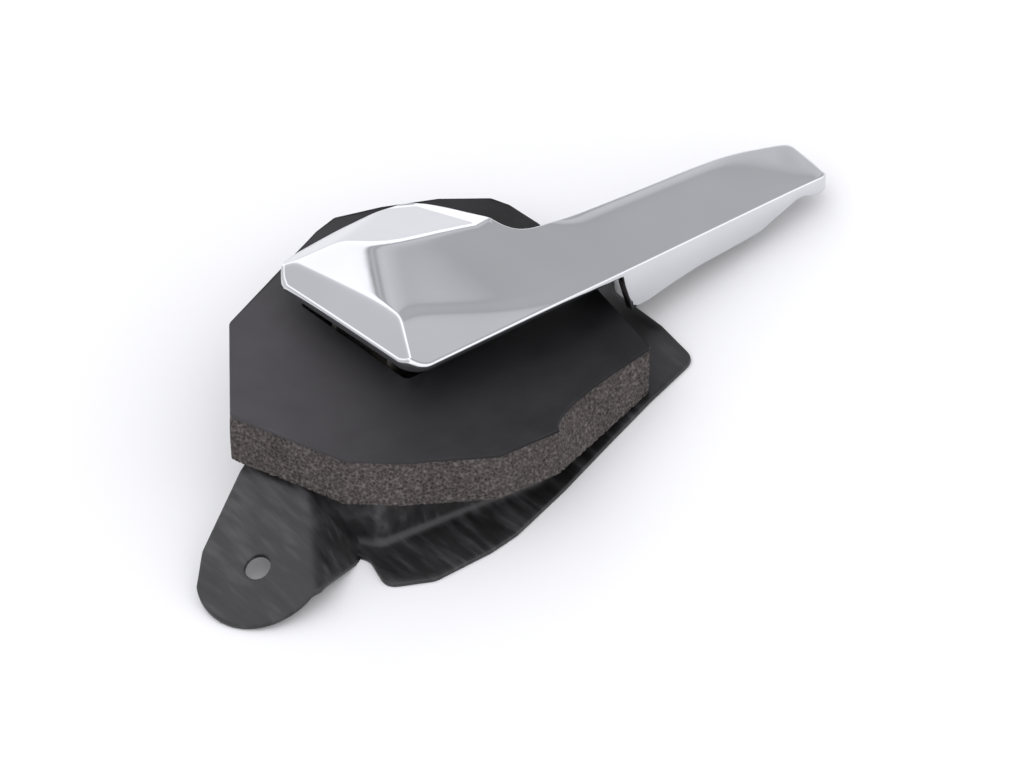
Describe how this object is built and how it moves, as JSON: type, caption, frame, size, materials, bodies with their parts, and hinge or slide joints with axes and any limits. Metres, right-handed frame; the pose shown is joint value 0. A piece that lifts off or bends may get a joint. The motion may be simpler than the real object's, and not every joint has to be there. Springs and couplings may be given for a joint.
{
  "type": "inside door release handle",
  "caption": "Plated wing-shaped pull lever hinged over a foam-backed, faceted pad on a black sheet base with a slanted screw ear; a crank behind works a latch rod.",
  "frame": {"origin": "centre of the tail screw hole on the mounting plane", "axes": "+Z out of the door towards the hand, +X along the lever arm towards its tip, +Y across the arm towards the head's far side"},
  "size_m": [0.2161, 0.1141, 0.0432],
  "materials": {
    "plated_lever": "bright plating over a smooth casting",
    "plated_steel": "dull plated pressed sheet",
    "bright_steel": "turned steel",
    "spring_steel": "oiled drawn steel",
    "natural_nylon": "moulded, slightly translucent",
    "black_nylon": "moulded",
    "yellow_nylon": "moulded",
    "stop_rubber": "matt rubber",
    "black_steel": "thin satin black paint on pressed sheet",
    "open_foam": "cut open-cell foam",
    "black_skin": "smooth matt skin"
  },
  "bodies": {
    "base": {"base_plate": "black_steel", "foam_pad": "open_foam", "face_skin": "black_skin", "pivot_bracket": "plated_steel", "bracket_rivets": "bright_steel", "bush_near": "natural_nylon", "bush_far": "natural_nylon", "spring_sleeve": "black_nylon", "return_spring": "spring_steel", "rest_stop": "stop_rubber", "pull_stop": "stop_rubber"},
    "lever": {"lever_shell": "plated_lever", "crank_arm": "plated_steel", "crank_rivets": "bright_steel", "pivot_pin": "bright_steel", "pin_clip": "spring_steel"},
    "clip": {"rod_clip": "yellow_nylon"}
  },
  "joints": [
    {"name": "lever_pull", "type": "hinge", "parent": "base", "child": "lever", "pos_m": [-0.06783, -0.011, 0.02856], "axis": [0, -1, 0], "range_deg": [0, 28], "stiffness_Nm_per_rad": 0.35, "springref_deg": -20.05, "deforming": ["return_spring"]},
    {"name": "clip_turn", "type": "hinge", "parent": "lever", "child": "clip", "pos_m": [-0.07182, 0.0044, 0.00591], "axis": [0, -1, 0], "range_deg": [-28, 6]}
  ]
}
